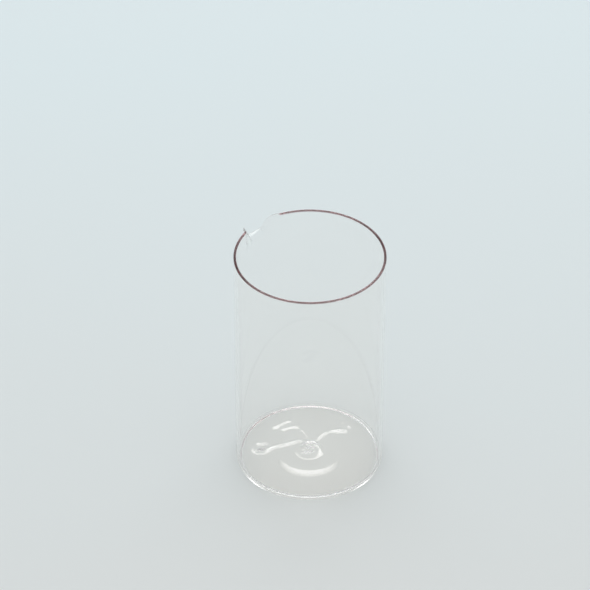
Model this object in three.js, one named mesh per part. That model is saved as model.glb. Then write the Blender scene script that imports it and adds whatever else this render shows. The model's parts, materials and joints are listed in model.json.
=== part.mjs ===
// A flame-worked glass beaker with a pulled pouring spout and a plum-coloured thread of glass fused
// round its rim.
//
// Units are millimetres and +Z is up. The origin is the centre of the foot ring, on the surface that
// the beaker stands on. The beaker has no separate fittings: the lampworker makes it from four
// pieces of glass that fuse together. They are the tube with its foot and spout, the dished base,
// the button that closes the middle of the base, and the coloured thread. Here they meet face to
// face along those fused joints.

import * as THREE from "three";

// ---- driving dimensions -------------------------------------------------------------------------

const OUTER_RADIUS = 37.5;
const HEIGHT = 128; // from the table to the top of the coloured thread
const WALL = 1.3; // thickness of the tube, and width of the coloured thread

const FOOT_ROUNDING = 1.2; // outside radius of the heel
const FOOT_LAND = 0.8; // width of the flat ring that the beaker stands on
const BASE_RADIUS = 34; // where the base is fused into the foot
const BASE_LIFT = 0.9; // clear height under the edge of the base
const BASE_THICKNESS = 1.2;
const FILLET = 1.2; // inside, between the base and the wall
const PUSH_UP = 2.2; // how far the middle of the base is pushed up
const PUSH_UP_RADIUS = 19; // where the push-up starts
const BUTTON_RADIUS = 5;
const BUTTON_SWELL = 0.7; // how far the button stands out above and below the base

const SPOUT_DIRECTION = 131; // degrees, anticlockwise from +X seen from above
const SPOUT_FOOT = 108; // height at which the tube starts to swell into the spout
const MOUTH_HALF = 10; // half the width over which the spout leaves the round rim
const SHOULDER_HALF = 7; // half the width across the tops of its side walls
const LIP_HALF = 5.3; // half the width of the lip
const SHOULDER_DROP = 1.8; // how far the rim has fallen at the tops of the side walls
const LIP_DROP = 6.6; // how far it has fallen at the ends of the lip
const LIP_MIDDLE_DROP = 8.2; // how far it has fallen in the middle of the lip
const LIP_REACH = 2.6; // how far the ends of the lip stand out from the tube
const LIP_MIDDLE_REACH = 4.4; // how far the middle of the lip stands out
const EAR_REACH = 0.8; // how far the rim flares where it meets the spout
const EAR_WIDTH = 2.5; // how far along the rim that flare spreads

const SEGMENTS = 72; // facets round the beaker, a multiple of four
const CROWDING = 0.6; // how strongly the facets gather at the spout, from 0 to under 1
const THREAD_START = 7; // facets from the middle of the spout to the thread, anticlockwise
const THREAD_END = SEGMENTS - 8; // facets to its other end, still anticlockwise

// ---- derived dimensions -------------------------------------------------------------------------

const INNER_RADIUS = OUTER_RADIUS - WALL;
const WALL_MIDDLE = OUTER_RADIUS - WALL / 2;
const SEAT = HEIGHT - WALL / 2; // height of the tube's edge, where the thread lies
const BASE_TOP = BASE_LIFT + BASE_THICKNESS;

// ---- materials ----------------------------------------------------------------------------------

function clearGlass() {
  return new THREE.MeshStandardMaterial({
    color: 0xf1ebe8,
    roughness: 0.03,
    metalness: 0,
    transparent: true,
    opacity: 0.3,
  });
}

function plumGlass() {
  return new THREE.MeshStandardMaterial({ color: 0x53262b, roughness: 0.06, metalness: 0 });
}

// ---- helpers ------------------------------------------------------------------------------------

// Rises smoothly from 0 to 1 as the value goes from one place to another, in either direction.
function ease(from, to, value) {
  const share = THREE.MathUtils.clamp((value - from) / (to - from), 0, 1);
  return share * share * (3 - 2 * share);
}

// The direction of a facet's edge, counted from the middle of the spout.
function facetAngle(facet) {
  const turn = (facet / SEGMENTS) * 2 * Math.PI;
  return turn - CROWDING * Math.sin(turn);
}

// The points of an arc in a profile, between two directions in degrees.
function arc(r, z, radius, from, to, steps = 4) {
  const points = [];
  for (let i = 0; i <= steps; i++) {
    const angle = THREE.MathUtils.degToRad(from + ((to - from) * i) / steps);
    points.push(new THREE.Vector2(r + radius * Math.cos(angle), z + radius * Math.sin(angle)));
  }
  return points;
}

function eachVertex(geometry, move) {
  const position = geometry.getAttribute("position");
  const point = new THREE.Vector3();
  for (let i = 0; i < position.count; i++) {
    point.fromBufferAttribute(position, i);
    move(point);
    position.setXYZ(i, point.x, point.y, point.z);
  }
}

// A solid turned about Z from a profile of (radius, height) points that goes up its outside. The
// middle of the spout is at +X.
function turned(profile) {
  const geometry = new THREE.LatheGeometry(profile, SEGMENTS);
  geometry.rotateX(Math.PI / 2);
  eachVertex(geometry, (point) => {
    const radius = Math.hypot(point.x, point.y);
    const facet = (Math.atan2(point.y, point.x) / (2 * Math.PI)) * SEGMENTS;
    const angle = facetAngle(facet);
    point.set(radius * Math.cos(angle), radius * Math.sin(angle), point.z);
  });
  return geometry;
}

// ---- the spout ----------------------------------------------------------------------------------

// Moves a point of the plain tube to where the lampworker's tool pulls it.
function pullSpout(point) {
  const angle = Math.atan2(point.y, point.x);
  const aside = Math.abs(angle) * OUTER_RADIUS; // distance along the rim from the spout's middle
  const shoulder = ease(MOUTH_HALF, SHOULDER_HALF, aside);
  const side = ease(SHOULDER_HALF, LIP_HALF, aside);
  const lip = ease(LIP_HALF, 0, aside);
  const ear = Math.exp(-(((aside - MOUTH_HALF) / EAR_WIDTH) ** 2));

  const drop =
    SHOULDER_DROP * shoulder +
    (LIP_DROP - SHOULDER_DROP) * side +
    (LIP_MIDDLE_DROP - LIP_DROP) * lip;
  const reach =
    LIP_REACH * ease(MOUTH_HALF, LIP_HALF, aside) +
    (LIP_MIDDLE_REACH - LIP_REACH) * lip +
    EAR_REACH * ear;
  const share = ease(SPOUT_FOOT, SEAT, point.z);
  const radius = Math.hypot(point.x, point.y) + reach * share;
  point.set(radius * Math.cos(angle), radius * Math.sin(angle), point.z - drop * share);
}

// Whether a point of the rim carries the thread. The small margin takes in the thread's two ends.
function carriesThread(point) {
  const margin = 0.001;
  const angle = THREE.MathUtils.euclideanModulo(Math.atan2(point.y, point.x), 2 * Math.PI);
  return angle > facetAngle(THREAD_START) - margin && angle < facetAngle(THREAD_END) + margin;
}

// ---- the pieces ---------------------------------------------------------------------------------

// The tube, turned in at the foot. Its edge is flat where the thread lies and fire-polished round
// over the spout.
function sideWall() {
  const heelRadius = OUTER_RADIUS - FOOT_ROUNDING;
  const rows = [60, 96, SPOUT_FOOT, 112, 116, 120, 124];
  const profile = [
    new THREE.Vector2(BASE_RADIUS, BASE_LIFT),
    new THREE.Vector2(heelRadius - FOOT_LAND, 0),
    ...arc(heelRadius, FOOT_ROUNDING, FOOT_ROUNDING, -90, 0),
    ...rows.map((z) => new THREE.Vector2(OUTER_RADIUS, z)),
    ...arc(WALL_MIDDLE, SEAT, WALL / 2, 0, 180),
    ...rows.toReversed().map((z) => new THREE.Vector2(INNER_RADIUS, z)),
    ...arc(INNER_RADIUS - FILLET, BASE_TOP + FILLET, FILLET, 0, -90),
    new THREE.Vector2(BASE_RADIUS, BASE_TOP),
    new THREE.Vector2(BASE_RADIUS, BASE_LIFT),
  ];
  const geometry = turned(profile);
  eachVertex(geometry, (point) => {
    if (carriesThread(point)) point.z = Math.min(point.z, SEAT);
    pullSpout(point);
  });
  return geometry;
}

// The dished base, a ring fused to the foot outside and to the button inside.
function base() {
  const radii = [BUTTON_RADIUS, 8.5, 12, 15.5, PUSH_UP_RADIUS, BASE_RADIUS];
  const rise = (radius) => PUSH_UP * ease(PUSH_UP_RADIUS, BUTTON_RADIUS, radius);
  const underside = radii.map((r) => new THREE.Vector2(r, BASE_LIFT + rise(r)));
  const top = radii.toReversed().map((r) => new THREE.Vector2(r, BASE_TOP + rise(r)));
  return turned([...underside, ...top, underside[0]]);
}

// The button of glass left where the end of the tube was drawn shut, swollen above and below.
function centreButton() {
  const swell = (share) => BUTTON_SWELL * (1 - share * share);
  const shares = [0, 0.4, 0.75, 1];
  const profile = [
    ...shares.map((s) => new THREE.Vector2(s * BUTTON_RADIUS, BASE_LIFT + PUSH_UP - swell(s))),
    ...shares
      .toReversed()
      .map((s) => new THREE.Vector2(s * BUTTON_RADIUS, BASE_TOP + PUSH_UP + swell(s))),
  ];
  return turned(profile);
}

// The thread, melted down to a half-round capping of the tube's edge. It is extruded straight, with
// a step for each facet of the rim, and then wrapped round it.
function rimThread() {
  const facets = THREAD_END - THREAD_START;
  const section = new THREE.Shape(arc(WALL_MIDDLE, SEAT, WALL / 2, 0, 180, 6));
  const geometry = new THREE.ExtrudeGeometry(section, {
    depth: facets,
    steps: facets,
    bevelEnabled: false,
  });
  eachVertex(geometry, (point) => {
    const angle = facetAngle(THREAD_END - point.z);
    point.set(point.x * Math.cos(angle), point.x * Math.sin(angle), point.y);
    pullSpout(point);
  });
  return geometry;
}

// ---- the beaker ---------------------------------------------------------------------------------

function piece(name, geometry, material) {
  const mesh = new THREE.Mesh(geometry, material);
  mesh.name = name;
  return mesh;
}

const beaker = new THREE.Group();
beaker.add(
  piece("side_wall", sideWall(), clearGlass()),
  piece("base", base(), clearGlass()),
  piece("centre_button", centreButton(), clearGlass()),
  piece("rim_thread", rimThread(), plumGlass()),
);
beaker.rotation.z = THREE.MathUtils.degToRad(SPOUT_DIRECTION);

export default beaker;
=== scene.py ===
"""A flame-worked glass beaker with a pulled spout and a plum-coloured thread round its rim.

Lengths are in metres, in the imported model's own frame: +Z is up, the middle of the foot ring is the
origin, and the spout points 131 degrees anticlockwise from +X. All the glass is turned as one body
first, because on the real beaker it is one, and is then cut into its four pieces at the fused joints.
"""

import json
import math

import bpy
import numpy as np
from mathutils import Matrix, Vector

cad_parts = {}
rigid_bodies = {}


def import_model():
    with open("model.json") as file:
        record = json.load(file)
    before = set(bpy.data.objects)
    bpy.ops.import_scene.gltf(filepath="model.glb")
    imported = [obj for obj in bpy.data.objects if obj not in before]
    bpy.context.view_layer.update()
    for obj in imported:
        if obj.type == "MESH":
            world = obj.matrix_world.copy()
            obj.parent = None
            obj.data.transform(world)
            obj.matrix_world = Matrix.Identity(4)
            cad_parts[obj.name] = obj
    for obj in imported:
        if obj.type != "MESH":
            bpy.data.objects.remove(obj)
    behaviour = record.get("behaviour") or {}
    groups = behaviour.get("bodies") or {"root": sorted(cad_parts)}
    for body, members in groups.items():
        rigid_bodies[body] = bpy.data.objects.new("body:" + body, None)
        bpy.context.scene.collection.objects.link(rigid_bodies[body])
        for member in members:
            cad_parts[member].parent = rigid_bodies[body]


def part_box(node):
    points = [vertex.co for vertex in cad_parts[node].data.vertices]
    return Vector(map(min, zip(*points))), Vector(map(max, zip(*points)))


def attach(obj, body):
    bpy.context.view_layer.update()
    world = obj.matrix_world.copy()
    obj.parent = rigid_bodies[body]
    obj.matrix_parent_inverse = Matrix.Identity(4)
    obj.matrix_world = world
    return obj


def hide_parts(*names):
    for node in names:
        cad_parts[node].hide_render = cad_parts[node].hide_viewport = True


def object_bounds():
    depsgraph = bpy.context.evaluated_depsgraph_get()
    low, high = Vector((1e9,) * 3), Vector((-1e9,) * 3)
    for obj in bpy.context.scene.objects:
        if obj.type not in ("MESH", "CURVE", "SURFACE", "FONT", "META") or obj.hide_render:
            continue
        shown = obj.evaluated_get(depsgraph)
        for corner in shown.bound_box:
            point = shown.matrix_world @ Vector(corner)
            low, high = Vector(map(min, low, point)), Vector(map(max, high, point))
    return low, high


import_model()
cad_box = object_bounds()

# ---- sizes ------------------------------------------------------------------------------------------

MM = 0.001
WALL = 1.3 * MM

OUTER_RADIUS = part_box("side_wall")[1].y
HEIGHT = cad_box[1].z
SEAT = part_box("rim_thread")[0].z  # height of the tube's edge, where the thread lies
BASE_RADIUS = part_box("base")[1].y
BUTTON_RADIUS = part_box("centre_button")[1].y
BASE_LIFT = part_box("base")[0].z

INNER_RADIUS = OUTER_RADIUS - WALL
WALL_MIDDLE = OUTER_RADIUS - WALL / 2

FOOT_ROUNDING = 1.2 * MM
FOOT_LAND = 0.7 * MM
BASE_TURN = 34.2 * MM  # where the raised base starts to turn down to the foot
BASE_THICKNESS = 1.1 * MM
FILLET = 1.1 * MM  # inside, between the base and the wall
PLATEAU_RADIUS = 16 * MM  # the raised middle of the base breaks off into a gentle slope here
PLATEAU_EDGE = 8 * MM  # how far that slope takes to run out
PLATEAU_SLOPE = 0.085
BUTTON_FOOT = 8 * MM  # where the middle starts to climb steeply to the button
BUTTON_TOP = 0.6 * BUTTON_RADIUS  # where that climb ends
BUTTON_RISE = 1.4 * MM

SPOUT_DIRECTION = math.radians(131)
SPOUT_FOOT = 108 * MM  # height at which the tube starts to swell into the spout
THREAD_START = math.radians(17.6)  # from the middle of the spout, anticlockwise
THREAD_END = math.radians(360 - 17.2)

# The rim over the spout, in millimetres: distance along the rim from the spout's middle,
# anticlockwise positive, how far the rim drops there, and how far it leans out.
SPOUT_RIM = (
    (-14, 0, 0),
    (-11.2, 0, 0.1),
    (-9.5, 0.1, 0.8),
    (-7.7, 0.9, 1.6),
    (-6.2, 2.4, 2.5),
    (-5.1, 4.4, 3.6),
    (-4.5, 6.2, 4.1),
    (-3.9, 7.8, 4.2),
    (-2, 8.1, 4.1),
    (0.5, 8.2, 4.0),
    (3.5, 8.1, 4.1),
    (5.3, 7.8, 4.2),
    (6.2, 6, 4.1),
    (7.1, 3.4, 3.6),
    (8.3, 1.4, 3.2),
    (9.8, 0.6, 2.5),
    (11.5, 0.1, 0.5),
    (14, 0, 0),
)
LEAN_POWER = 3  # the lip curls over further the nearer it is to the edge
FALL_POWER = 2.1

# Tool marks in the base. Each ridge is its course, as (direction in degrees, radius) points, its
# half-width and its height, in millimetres.
RIDGES = (
    (((95, 6), (125, 8.5), (158, 13), (170, 18), (179, 22), (182, 25)), 1.4, 0.36),
    (((182, 24), (181, 27), (174, 28.5), (168, 27.5)), 1.6, 0.4),
    (((170, 23), (171, 24)), 1.1, -0.25),
    (((85, 8), (95, 11.5), (105, 17), (112, 19.5)), 1, 0.15),
    (((107, 20), (128, 21.5)), 1.7, 0.3),
    (((115, 25.5), (134, 25.5)), 1.4, 0.3),
    (((70, 7), (63, 12.7), (57, 17), (51, 20.3), (42, 23.7)), 1.5, 0.28),
    (((45, 21), (42, 24)), 2.2, 0.2),
    (((44, 28), (50, 29)), 2.2, 0.3),
    (((20, 27), (5, 26)), 3, 0.12),
)
FOLDS = 2  # how many times the folds of the button repeat round it
FOLD_PITCH = 0.9 * MM
FOLD_HEIGHT = 0.36 * MM
FOLD_START = 0.3 * BUTTON_RADIUS  # the folds are at full height from here
FOLD_FADE = 0.7 * BUTTON_RADIUS  # to here
FOLD_END = 1.6 * BUTTON_RADIUS  # and are gone from here
MARK_FADE = 0.88 * BASE_RADIUS  # all marks run out between here
MARK_END = 0.98 * BASE_RADIUS  # and here

# How finely the outline of the glass is divided.
FINE_RADIUS = 1.2 * BUTTON_RADIUS
BUTTON_STEP = 0.2 * MM
BASE_STEP = 0.5 * MM
TURN_STEP = 0.1 * MM
WALL_START = 1.5 * FILLET  # the lowest row of the straight wall
WALL_STEP = 6 * MM
SPOUT_STEP = 0.7 * MM
ROUND_STEPS = 12
FILLET_STEPS = 16
COURSE_STEPS = 12  # along a ridge, for each of the points of its course
COLUMNS = 480  # facets round the beaker
SMOOTH_ANGLE = math.radians(40)
WELD = 0.002 * MM  # points closer than this are one
NEAR = 0.05 * MM  # how close an edge's middle lies to the cut that it belongs to

# ---- glass, light and camera ------------------------------------------------------------------------

GLASS_IOR = 1.47
DRAW_DEPTH = 0.01 * MM  # depth of the waves and swirls in the glass
CLOUD_SCALE = 25  # patterns to the metre, as all the scales are
STREAK_SCALE = 90
STREAK_STRETCH = (1, 1, 0.06)  # the waves run along the tube
SWIRL_SCALE = 400
MIRRORED = 0.5  # share of the lamps' light that a surface seen edge-on turns away
MIRRORED_POWER = 4

# Each roughness is its least and its greatest.
CLEAR_ROUGHNESS = (0.004, 0.014)
PLUM_ROUGHNESS = (0.01, 0.03)
FLOOR_ROUGHNESS = (0.6, 0.7)

CLEAR_PALE = (1, 0.997, 0.99, 1)
CLEAR_ROSE = (1, 0.99, 0.982, 1)
LAMP_TINT = (1, 0.993, 0.985, 1)  # of light that has passed through the glass to the floor
# the thread's colour where it has no painted shade, and where the painted shade is full
PLUM_UNSHADED = (1, 1, 1, 1)
PLUM_SHADED = (0.1, 0.001, 0.003, 1)
PLUM_LETS_THROUGH = (0.62, 0, 0.05, 1)
PLUM_DENSITY = 1150  # per metre
PLUM_SHADE_DIRECTION = math.radians(18)  # painted shade: the thread's colour is painted darker in this direction and opposite it, near the sides of the view
PLUM_SHADE_POWER = 4
PLUM_SWIRLS = 0.3  # how much the swirls vary its depth

FLOOR_WIDTH = 8
FLOOR_CLOUD_SCALE = 2.5
GRAIN_SCALE = 900
GRAIN_DEPTH = 0.05 * MM
GRAIN_STRENGTH = 0.3
FLOOR_SHINE = 0.2
FLOOR_COOL = (0.77, 0.845, 0.86, 1)
# the warm colour is a painted shadow tint, laid under and in front of the beaker
FLOOR_WARM_SHADOW = (0.79, 0.79, 0.77, 1)
FLOOR_SHADOW_WARMTH = 0.55  # share of the painted warm shadow tint under the beaker
FLOOR_FADE = 1.5  # how much of it goes with each metre towards the back
FLOOR_CLOUDS = 0.4  # how much the clouds vary it
ROOM_COLOUR = (0.94, 0.98, 1, 1)
ROOM_LIGHT = 0.67

# The large lamp behind the beaker, in degrees and metres.
WINDOW_DIRECTION = 87  # anticlockwise from +X
WINDOW_ELEVATION = 54
WINDOW_DISTANCE = 2.4
WINDOW_SIZE = (2.7, 0.83)
WINDOW_RADIANCE = 6.2
WHITE = (1, 1, 1, 1)
BLACK = (0, 0, 0, 1)

CAMERA_PLACE = (-7.35, -1254.1, 1104.5)
CAMERA_DIP = 38.607  # degrees below the horizon
CAMERA_LENS = 198.3
CAMERA_RANGE = 20
BOUNCES = 128  # light bends many times in the rim, the thread and the heel

# ---- modelling helpers ------------------------------------------------------------------------------


def deselect_all():
    """Leaves edit mode, with nothing selected."""
    if bpy.context.object and bpy.context.object.mode != "OBJECT":
        bpy.ops.object.mode_set(mode="OBJECT")
    bpy.ops.object.select_all(action="DESELECT")


def edit(piece):
    """Opens a piece in edit mode."""
    deselect_all()
    piece.select_set(True)
    bpy.context.view_layer.objects.active = piece
    bpy.ops.object.mode_set(mode="EDIT")


def points_of(piece):
    """The places of a piece's vertices, one row each."""
    points = np.empty(len(piece.data.vertices) * 3)
    piece.data.vertices.foreach_get("co", points)
    return points.reshape(-1, 3)


def place_points(piece, points):
    """Moves a piece's vertices to these places."""
    piece.data.vertices.foreach_set("co", points.ravel())
    piece.data.update()


def ease(start, end, value):
    """Rises smoothly from 0 to 1 as the value goes from start to end."""
    share = np.clip((value - start) / (end - start), 0, 1)
    return share * share * (3 - 2 * share)


def curve_through(stations, values, where):
    """A smooth curve through values at stations, read at each place in where."""
    stations, values = np.array(stations, float), np.array(values, float)
    slopes = np.gradient(values, stations)
    i = np.clip(np.searchsorted(stations, where) - 1, 0, len(stations) - 2)
    span = stations[i + 1] - stations[i]
    t = np.clip((where - stations[i]) / span, 0, 1)
    start = (1 + 2 * t) * (1 - t) ** 2 * values[i] + t * (1 - t) ** 2 * span * slopes[i]
    end = t * t * (3 - 2 * t) * values[i + 1] + t * t * (t - 1) * span * slopes[i + 1]
    return start + end


def arc(r, z, radius, start, end, steps):
    """Points of a round corner in the profile, between two directions in degrees."""
    turns = np.radians(np.linspace(start, end, steps + 1))
    return [(r + radius * math.cos(turn), z + radius * math.sin(turn)) for turn in turns]


def run(start, end, step):
    """Even steps from start to end, both included."""
    return np.linspace(start, end, max(2, round(abs(end - start) / step) + 1))


# ---- the turned body --------------------------------------------------------------------------------


def base_rise(radius):
    """The height of the base's underside at this distance from its middle."""
    run_out = np.clip((PLATEAU_RADIUS + PLATEAU_EDGE - radius) / PLATEAU_EDGE, 0, 1)
    middle = 1 - ease(BUTTON_TOP, BUTTON_FOOT, radius)
    return BASE_LIFT + PLATEAU_SLOPE * PLATEAU_EDGE * run_out**2 / 2 + BUTTON_RISE * middle


def glass_profile():
    """The (radius, height) outline of the glass, from the axis underneath to the axis inside."""
    heel = OUTER_RADIUS - FOOT_ROUNDING
    land = heel - FOOT_LAND
    button = run(0, FINE_RADIUS, BUTTON_STEP)
    rest = run(FINE_RADIUS, BASE_RADIUS, BASE_STEP)[1:]
    radii = [*button, *rest]
    turned_down = [*radii, *run(BASE_TURN, land, TURN_STEP)]
    underside = [(r, base_rise(r) - BASE_LIFT * ease(BASE_TURN, land, r)) for r in turned_down]
    top = [(r, base_rise(r) + BASE_THICKNESS) for r in reversed(radii)]
    plain_rows = run(WALL_START, SPOUT_FOOT, WALL_STEP)
    rows = [*plain_rows, *run(SPOUT_FOOT, SEAT, SPOUT_STEP)[1:-1]]
    fillet_height = BASE_LIFT + BASE_THICKNESS + FILLET
    return [
        *underside,
        *arc(heel, FOOT_ROUNDING, FOOT_ROUNDING, -90, 0, ROUND_STEPS),
        *[(OUTER_RADIUS, z) for z in rows],
        *arc(WALL_MIDDLE, SEAT, WALL / 2, 0, 180, ROUND_STEPS),
        *[(INNER_RADIUS, z) for z in reversed(rows) if z > fillet_height],
        *arc(INNER_RADIUS - FILLET, fillet_height, FILLET, 0, -90, FILLET_STEPS),
        *top,
    ]


def turn_glass():
    """The whole glass as one body, turned from its outline."""
    profile = glass_profile()
    deselect_all()
    r, z = profile[0]
    bpy.ops.mesh.primitive_plane_add(size=1 * MM, location=(r, 0, z))
    glass = bpy.context.object
    bpy.ops.object.transform_apply(location=True, rotation=True, scale=True)
    edit(glass)
    bpy.ops.mesh.select_all(action="SELECT")
    bpy.ops.mesh.merge(type="CENTER")
    for (r0, z0), (r1, z1) in zip(profile, profile[1:]):
        step = {"value": (r1 - r0, 0, z1 - z0)}
        bpy.ops.mesh.extrude_region_move(TRANSFORM_OT_translate=step)
    bpy.ops.object.mode_set(mode="OBJECT")
    turned = glass.modifiers.new("turned", "SCREW")
    turned.axis = "Z"
    turned.angle = 2 * math.pi
    turned.steps = turned.render_steps = COLUMNS
    turned.use_merge_vertices = True
    turned.merge_threshold = WELD
    bpy.ops.object.modifier_apply(modifier=turned.name)
    edit(glass)
    bpy.ops.mesh.select_all(action="SELECT")
    bpy.ops.mesh.remove_doubles(threshold=WELD)
    bpy.ops.mesh.normals_make_consistent(inside=False)
    deselect_all()
    return glass


def spout_turn(points):
    """Each point's direction, anticlockwise from the middle of the spout, from 0 to a full turn."""
    return (np.arctan2(points[:, 1], points[:, 0]) - SPOUT_DIRECTION) % (2 * math.pi)


def pull_spout(piece):
    """Leans the tube out and drops its rim over the spout."""
    points = points_of(piece)
    x, y, z = points.T
    radius = np.hypot(x, y)
    aside = (spout_turn(points) + math.pi) % (2 * math.pi) - math.pi
    along = aside * OUTER_RADIUS / MM
    stations, drops, reaches = zip(*SPOUT_RIM)
    reach = np.maximum(curve_through(stations, reaches, along), 0) * MM
    drop = np.maximum(curve_through(stations, drops, along), 0) * MM
    length = SEAT - SPOUT_FOOT
    share = np.clip((z - SPOUT_FOOT) / length, 0, 1)
    lean = LEAN_POWER * reach / length * share ** (LEAN_POWER - 1)
    climb = 1 - FALL_POWER * drop / length * share ** (FALL_POWER - 1)
    outward, upward = np.stack([lean, climb]) / np.hypot(lean, climb)
    depth = radius - WALL_MIDDLE
    above = np.maximum(z - SEAT, 0)
    new_radius = WALL_MIDDLE + reach * share**LEAN_POWER + depth * upward + above * outward
    new_z = np.minimum(z, SEAT) - drop * share**FALL_POWER - depth * outward + above * upward
    pulled = z > SPOUT_FOOT
    stretch = np.where(pulled, new_radius / radius, 1)
    place_points(piece, np.column_stack([x * stretch, y * stretch, np.where(pulled, new_z, z)]))


# ---- the tool marks in the base ---------------------------------------------------------------------


def distance_to(x, y, course):
    """How far each place is from a course of (direction in degrees, radius in mm) points."""
    turns, radii = zip(*course)
    steps = np.linspace(0, len(course) - 1, COURSE_STEPS * len(course))
    turn = np.radians(curve_through(range(len(course)), turns, steps))
    radius = curve_through(range(len(course)), radii, steps) * MM
    nearest = np.full(len(x), np.inf)
    for px, py in zip(radius * np.cos(turn), radius * np.sin(turn)):
        nearest = np.minimum(nearest, np.hypot(x - px, y - py))
    return nearest


def press_base(piece):
    """Raises the folds, ridges and dimples that the twisted-off glass left in the base."""
    points = points_of(piece)
    x, y, z = points.T
    radius = np.hypot(x, y)
    turn = np.arctan2(y, x)
    on_button = 1 - ease(FOLD_FADE, FOLD_END, radius)
    off_centre = ease(0, FOLD_START, radius)
    relief = FOLD_HEIGHT * np.sin(FOLDS * turn + radius / FOLD_PITCH) * on_button * off_centre
    for course, width, height in RIDGES:
        relief += height * MM * np.exp(-((distance_to(x, y, course) / (width * MM)) ** 2))
    relief *= 1 - ease(MARK_FADE, MARK_END, radius)
    place_points(piece, np.column_stack([x, y, z + relief]))


# ---- cutting the body at its fused joints -----------------------------------------------------------


def middles_of(piece, kind):
    """The middles of a piece's faces or edges, one row each."""
    if kind == "FACE":
        middles = np.empty(len(piece.data.polygons) * 3)
        piece.data.polygons.foreach_get("center", middles)
        return middles.reshape(-1, 3)
    ends = np.empty(len(piece.data.edges) * 2, int)
    piece.data.edges.foreach_get("vertices", ends)
    return points_of(piece)[ends.reshape(-1, 2)].mean(axis=1)


def radius_of(piece):
    """How far each of a piece's faces is from the axis."""
    middles = middles_of(piece, "FACE")
    return np.hypot(middles[:, 0], middles[:, 1])


def select_in(piece, kind, wanted):
    """Selects the faces or edges that are wanted, one truth value each, ready for an edit."""
    edit(piece)
    bpy.ops.mesh.select_mode(type=kind)
    bpy.ops.mesh.select_all(action="DESELECT")
    bpy.ops.object.mode_set(mode="OBJECT")
    parts = piece.data.polygons if kind == "FACE" else piece.data.edges
    parts.foreach_set("select", wanted)
    bpy.ops.object.mode_set(mode="EDIT")


def open_edges(piece):
    """Which of a piece's edges belong to one face only."""
    edit(piece)
    bpy.ops.mesh.select_mode(type="EDGE")
    bpy.ops.mesh.select_all(action="DESELECT")
    bpy.ops.mesh.select_non_manifold(extend=False)
    bpy.ops.object.mode_set(mode="OBJECT")
    is_open = np.empty(len(piece.data.edges), bool)
    piece.data.edges.foreach_get("select", is_open)
    return is_open


def cut_off(glass, name, wanted):
    """Takes the wanted faces off the body as a piece of their own."""
    before = set(bpy.data.objects)
    select_in(glass, "FACE", wanted)
    bpy.ops.mesh.separate(type="SELECTED")
    deselect_all()
    (piece,) = set(bpy.data.objects) - before
    piece.name = piece.data.name = name
    return piece


def close_ring(piece, radius):
    """Closes a cut round the base at this radius."""
    middles = middles_of(piece, "EDGE")
    near = abs(np.hypot(middles[:, 0], middles[:, 1]) - radius) < NEAR
    select_in(piece, "EDGE", near & open_edges(piece))
    bpy.ops.mesh.bridge_edge_loops()
    deselect_all()


def close_seat(piece):
    """Closes the cut between the tube's edge and the thread, and the thread's two ends."""
    level = abs(middles_of(piece, "EDGE")[:, 2] - SEAT) < NEAR
    select_in(piece, "EDGE", level & open_edges(piece))
    bpy.ops.mesh.bridge_edge_loops()
    deselect_all()
    select_in(piece, "EDGE", open_edges(piece))
    bpy.ops.mesh.fill_holes(sides=0)
    deselect_all()


def close_joints(piece, rings=(), seat=False):
    """Closes a piece at its fused joints, and marks those faces as joints."""
    skin = len(piece.data.polygons)
    for radius in rings:
        close_ring(piece, radius)
    if seat:
        close_seat(piece)
    joint = piece.data.attributes.new("joint", "FLOAT", "FACE")
    joint.data.foreach_set("value", (np.arange(len(piece.data.polygons)) >= skin).astype(float))


def cut_glass(glass):
    """The body's four pieces, each closed, in the order wall, base, button and thread."""
    middles = middles_of(glass, "FACE")
    turn = spout_turn(middles)
    on_seat = (middles[:, 2] > SEAT) & (turn > THREAD_START) & (turn < THREAD_END)
    thread = cut_off(glass, "plum_thread", on_seat)
    base = cut_off(glass, "dished_base", radius_of(glass) < BASE_RADIUS)
    button = cut_off(base, "drawn_button", radius_of(base) < BUTTON_RADIUS)
    glass.name = glass.data.name = "tube_wall"
    close_joints(glass, rings=[BASE_RADIUS], seat=True)
    close_joints(base, rings=[BASE_RADIUS, BUTTON_RADIUS])
    close_joints(button, rings=[BUTTON_RADIUS])
    close_joints(thread, seat=True)
    return glass, base, button, thread


# ---- materials --------------------------------------------------------------------------------------


class Value:
    """A value in a material. Arithmetic on it adds the Math nodes."""

    def __init__(self, finish, socket):
        self.finish = finish
        self.socket = socket

    def maths(self, operation, first, second):
        settings = {"operation": operation}
        return self.finish.node("ShaderNodeMath", settings, {0: first, 1: second})

    def __add__(self, other):
        return self.maths("ADD", self, other)

    def __radd__(self, other):
        return self.maths("ADD", other, self)

    def __sub__(self, other):
        return self.maths("SUBTRACT", self, other)

    def __rsub__(self, other):
        return self.maths("SUBTRACT", other, self)

    def __mul__(self, other):
        return self.maths("MULTIPLY", self, other)

    def __rmul__(self, other):
        return self.maths("MULTIPLY", other, self)

    def __pow__(self, other):
        return self.maths("POWER", self, other)


def between(limits, share):
    """A value that goes from the first limit to the second as the share goes from 0 to 1."""
    low, high = limits
    return low + (high - low) * share


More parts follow.
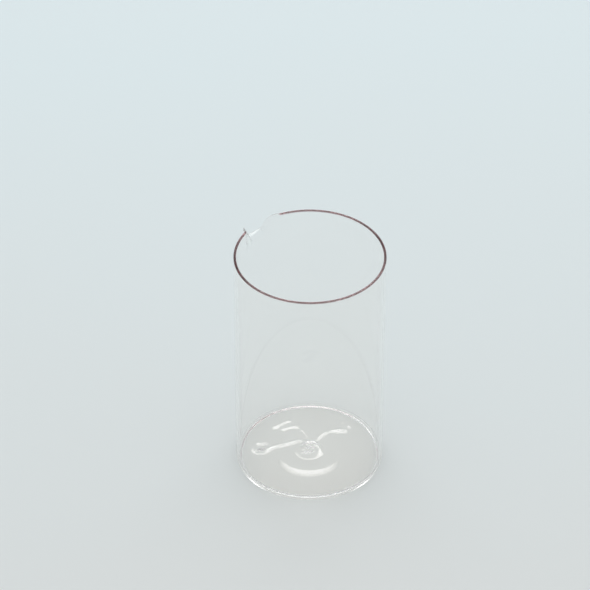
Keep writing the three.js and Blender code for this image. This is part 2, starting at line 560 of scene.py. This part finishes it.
class Finish:
    """The nodes of a new material, or of the room's light."""

    def __init__(self, owner):
        owner.use_nodes = True
        self.owner = owner
        self.tree = owner.node_tree
        self.tree.nodes.clear()

    def node(self, kind, settings, sockets, out=0):
        """Adds a node with its settings and its sockets' values or links, and gives one output."""
        made = self.tree.nodes.new(kind)
        for name, setting in settings.items():
            setattr(made, name, setting)
        for key, value in sockets.items():
            if isinstance(value, Value):
                self.tree.links.new(value.socket, made.inputs[key])
            else:
                made.inputs[key].default_value = value
        return Value(self, made.outputs[out]) if len(made.outputs) else None

    def place(self, scale=(1, 1, 1)):
        """The place on the piece, stretched by a factor along each axis."""
        here = self.node("ShaderNodeTexCoord", {}, {}, out="Object")
        return self.node("ShaderNodeMapping", {}, {"Vector": here, "Scale": scale})

    def noise(self, where, scale, detail=2.0):
        sockets = {"Vector": where, "Scale": scale, "Detail": detail}
        return self.node("ShaderNodeTexNoise", {}, sockets)

    def bump(self, height, depth, strength=1):
        """A normal from a height between 0 and 1."""
        sockets = {"Strength": strength, "Distance": depth, "Height": height}
        return self.node("ShaderNodeBump", {}, sockets)

    def blend(self, share, first, second):
        """A colour between two colours."""
        sockets = {"Factor": share, 6: first, 7: second}
        return self.node("ShaderNodeMix", {"data_type": "RGBA"}, sockets, out=2)

    def mix(self, share, first, second):
        """A shader between two shaders."""
        return self.node("ShaderNodeMixShader", {}, {0: share, 1: first, 2: second})

    def finish(self, surface, volume=None):
        sockets = {"Surface": surface}
        if volume:
            sockets["Volume"] = volume
        self.node("ShaderNodeOutputMaterial", {}, sockets)
        return self.owner


def clear_glass():
    """Borosilicate glass with a faint rose cast, and the slow waves that drawn tube has."""
    glass = Finish(bpy.data.materials.new("clear_glass"))
    clouds = glass.noise(glass.place(), CLOUD_SCALE)
    tint = glass.blend(clouds, CLEAR_PALE, CLEAR_ROSE)
    streaks = glass.noise(glass.place(STREAK_STRETCH), STREAK_SCALE, detail=3)
    bump = glass.bump(streaks, DRAW_DEPTH)
    surface = glass_surface(glass, tint, between(CLEAR_ROUGHNESS, clouds), bump)
    return glass.finish(surface)


def plum_glass():
    """Transparent plum-red glass, its colour painted darker in two opposite directions near the sides
    of the view as painted shade, and varied at random by swirls.
    """
    glass = Finish(bpy.data.materials.new("plum_glass"))
    swirls = glass.noise(glass.place(), SWIRL_SCALE, detail=4)
    along = (math.cos(PLUM_SHADE_DIRECTION) / OUTER_RADIUS, math.sin(PLUM_SHADE_DIRECTION) / OUTER_RADIUS, 0)
    here = glass.node("ShaderNodeTexCoord", {}, {}, out="Object")
    dot = {"operation": "DOT_PRODUCT"}
    across = glass.node("ShaderNodeVectorMath", dot, {0: here, 1: along}, out="Value")
    # painted shade, darker in one direction round the rim and opposite it, plus random swirls
    painted_shade_and_swirls = across**PLUM_SHADE_POWER + PLUM_SWIRLS * (swirls - 0.5)
    tint = glass.blend(painted_shade_and_swirls, PLUM_UNSHADED, PLUM_SHADED)
    bump = glass.bump(swirls, DRAW_DEPTH)
    surface = glass_surface(glass, tint, between(PLUM_ROUGHNESS, swirls), bump)
    sockets = {"Color": PLUM_LETS_THROUGH, "Density": PLUM_DENSITY}
    return glass.finish(surface, glass.node("ShaderNodeVolumeAbsorption", {}, sockets))


def glass_surface(glass, tint, roughness, bump):
    """Polished glass. Lamps shine through it, and nothing bends where two pieces are fused."""
    look = {
        "Base Color": tint,
        "Roughness": roughness,
        "IOR": GLASS_IOR,
        "Transmission Weight": 1,
        "Normal": bump,
    }
    polished = glass.node("ShaderNodeBsdfPrincipled", {}, look)
    open_way = glass.node("ShaderNodeBsdfTransparent", {}, {"Color": WHITE})
    stopped = glass.node("ShaderNodeBsdfDiffuse", {}, {"Color": BLACK})
    glancing = glass.node("ShaderNodeLayerWeight", {}, {"Blend": 0.5}, out="Facing")
    mirrored = MIRRORED * glancing**MIRRORED_POWER
    tinted_way = glass.node("ShaderNodeBsdfTransparent", {}, {"Color": LAMP_TINT})
    for_lamps = glass.mix(mirrored, tinted_way, stopped)
    lamp_ray = glass.node("ShaderNodeLightPath", {}, {}, out="Is Shadow Ray")
    matt_ray = glass.node("ShaderNodeLightPath", {}, {}, out="Is Diffuse Ray")
    skin = glass.mix(lamp_ray + matt_ray, polished, for_lamps)
    joint = glass.node("ShaderNodeAttribute", {"attribute_name": "joint"}, {}, out="Fac")
    return glass.mix(joint, skin, open_way)


def pale_floor():
    """Smooth pale blue-grey board with a faint unevenness, and a painted warm shadow tint that is
    strongest under and in front of the beaker.
    """
    board = Finish(bpy.data.materials.new("pale_board"))
    clouds = board.noise(board.place(), FLOOR_CLOUD_SCALE, detail=3)
    grain = board.noise(board.place(), GRAIN_SCALE)
    here = board.node("ShaderNodeTexCoord", {}, {}, out="Object")
    back = board.node("ShaderNodeSeparateXYZ", {}, {0: here}, out="Y")
    # painted shadow: a warm tint under and in front of the beaker, fading towards the back and varied
    # by the clouds
    painted_shadow_warmth = FLOOR_SHADOW_WARMTH - FLOOR_FADE * back + FLOOR_CLOUDS * (clouds - 0.5)
    tint = board.blend(painted_shadow_warmth, FLOOR_COOL, FLOOR_WARM_SHADOW)
    look = {
        "Base Color": tint,
        "Roughness": between(FLOOR_ROUGHNESS, grain),
        "Specular IOR Level": FLOOR_SHINE,
        "Normal": board.bump(grain, GRAIN_DEPTH, GRAIN_STRENGTH),
    }
    return board.finish(board.node("ShaderNodeBsdfPrincipled", {}, look))


# ---- the beaker -------------------------------------------------------------------------------------

glass = turn_glass()
wall, base, button, thread = cut_glass(glass)
pull_spout(wall)
pull_spout(thread)
press_base(base)
press_base(button)

clear = clear_glass()
plum = plum_glass()
for piece, node, finish, slot in (
    (wall, "side_wall", clear, "clear_glass"),
    (base, "base", clear, "clear_glass"),
    (button, "centre_button", clear, "clear_glass"),
    (thread, "rim_thread", plum, "plum_glass"),
):
    deselect_all()
    piece.select_set(True)
    bpy.context.view_layer.objects.active = piece
    bpy.ops.object.shade_smooth_by_angle(angle=SMOOTH_ANGLE)
    piece.data.materials.clear()
    piece.data.materials.append(finish)
    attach(piece, "root")
    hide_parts(node)

# ---- floor, light and camera ------------------------------------------------------------------------


def hang_window():
    """A large lamp with soft edges that faces the beaker."""
    turn = math.radians(WINDOW_DIRECTION)
    rise = math.radians(WINDOW_ELEVATION)
    level = math.cos(rise)
    outward = Vector((math.cos(turn) * level, math.sin(turn) * level, math.sin(rise)))
    deselect_all()
    bpy.ops.mesh.primitive_plane_add(size=1)
    panel = bpy.context.object
    panel.name = panel.data.name = "window"
    panel.scale = (*WINDOW_SIZE, 1)
    panel.location = Vector((0, 0, HEIGHT / 2)) + outward * WINDOW_DISTANCE
    panel.rotation_euler = outward.to_track_quat("Z", "Y").to_euler()
    panel.visible_camera = False
    glow = Finish(bpy.data.materials.new("window"))
    here = glow.node("ShaderNodeTexCoord", {}, {}, out="Object")
    across = 2 * glow.node("ShaderNodeSeparateXYZ", {}, {0: here}, out="X")
    up = 2 * glow.node("ShaderNodeSeparateXYZ", {}, {0: here}, out="Y")
    light = glow.blend((1 - across**4) * (1 - up**2), BLACK, WHITE)
    lit = glow.node("ShaderNodeEmission", {}, {"Color": light, "Strength": WINDOW_RADIANCE})
    panel.data.materials.append(glow.finish(lit))


def room_light():
    """Even light from all round."""
    room = Finish(bpy.data.worlds.new("room"))
    light = room.node("ShaderNodeBackground", {}, {"Color": ROOM_COLOUR, "Strength": ROOM_LIGHT})
    room.node("ShaderNodeOutputWorld", {}, {"Surface": light})
    return room.owner


deselect_all()
bpy.ops.mesh.primitive_plane_add(size=FLOOR_WIDTH)
floor = bpy.context.object
floor.name = floor.data.name = "floor"
floor.data.materials.append(pale_floor())

hang_window()

bpy.context.scene.world = room_light()

camera = bpy.data.objects.new("camera", bpy.data.cameras.new("camera"))
camera.data.lens = CAMERA_LENS
camera.data.clip_end = CAMERA_RANGE
camera.location = Vector(CAMERA_PLACE) * MM
camera.rotation_euler = (math.radians(90 - CAMERA_DIP), 0, 0)
bpy.context.collection.objects.link(camera)
bpy.context.scene.camera = camera

scene = bpy.context.scene
scene.view_settings.view_transform = "Standard"
scene.cycles.max_bounces = BOUNCES
scene.cycles.glossy_bounces = BOUNCES
scene.cycles.transmission_bounces = BOUNCES
scene.cycles.transparent_max_bounces = BOUNCES
scene.cycles.caustics_reflective = False
scene.cycles.caustics_refractive = False
